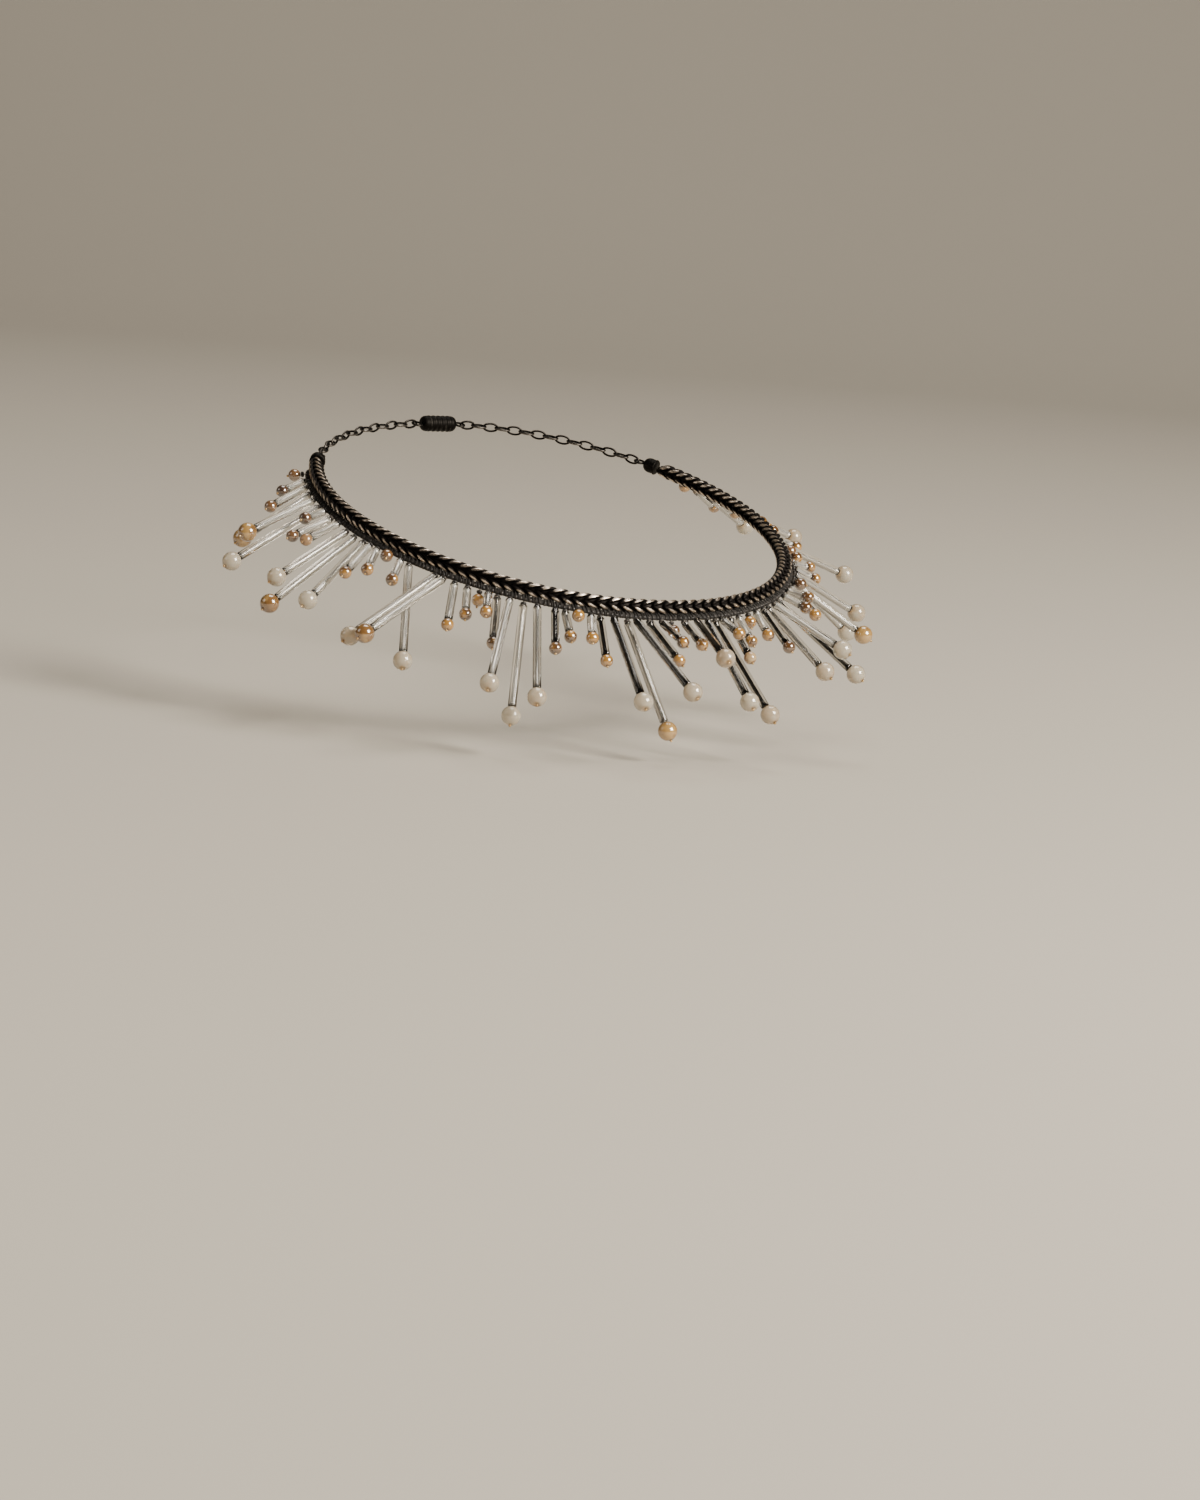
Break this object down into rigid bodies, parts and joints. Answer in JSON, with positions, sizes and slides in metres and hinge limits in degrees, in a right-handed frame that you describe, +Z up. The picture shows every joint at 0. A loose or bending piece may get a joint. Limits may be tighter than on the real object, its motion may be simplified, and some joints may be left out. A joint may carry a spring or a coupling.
{
  "type": "beaded choker necklace",
  "caption": "Close-fitting foxtail chain necklace whose lower edge carries a fringe of glass tubes tipped with pearls, closed by a fine chain and a clasp at the back.",
  "frame": {"origin": "middle of the oval that the chain lies on, at the foot of the neck", "axes": "+Z up, -Y the wearer's front, +X the wearer's left"},
  "size_m": [0.181, 0.1551, 0.0634],
  "materials": {
    "oxidised_silver": "darkened silver plate, polished on the high spots",
    "dark_silver": "blackened silver plate",
    "milk_glass": "milky glass pearl on a silver-lined clear glass tube",
    "gold_pearl": "lustrous gold-brown pearl on a silver-lined clear glass tube",
    "copper_pearl": "small copper pearls on silver-lined clear glass tubes and dark thread"
  },
  "bodies": {
    "root": {"barrel_clasp": "dark_silver", "end_cap_left": "dark_silver", "end_cap_right": "dark_silver", "fine_chain_left": "dark_silver", "fine_chain_right": "dark_silver", "foxtail_chain": "oxidised_silver", "gold_spike_01": "gold_pearl", "gold_spike_02": "gold_pearl", "gold_spike_05": "gold_pearl", "gold_spike_09": "gold_pearl", "gold_spike_14": "gold_pearl", "gold_spike_22": "gold_pearl", "milk_spike_03": "milk_glass", "milk_spike_04": "milk_glass", "milk_spike_06": "milk_glass", "milk_spike_07": "milk_glass", "milk_spike_08": "milk_glass", "milk_spike_10": "milk_glass", "milk_spike_11": "milk_glass", "milk_spike_12": "milk_glass", "milk_spike_13": "milk_glass", "milk_spike_15": "milk_glass", "milk_spike_16": "milk_glass", "milk_spike_17": "milk_glass", "milk_spike_18": "milk_glass", "milk_spike_19": "milk_glass", "milk_spike_20": "milk_glass", "milk_spike_21": "milk_glass", "milk_spike_23": "milk_glass", "milk_spike_24": "milk_glass", "milk_spike_25": "milk_glass", "milk_spike_26": "milk_glass", "milk_spike_27": "milk_glass", "small_fringe_left": "copper_pearl", "small_fringe_right": "copper_pearl"}
  },
  "joints": []
}
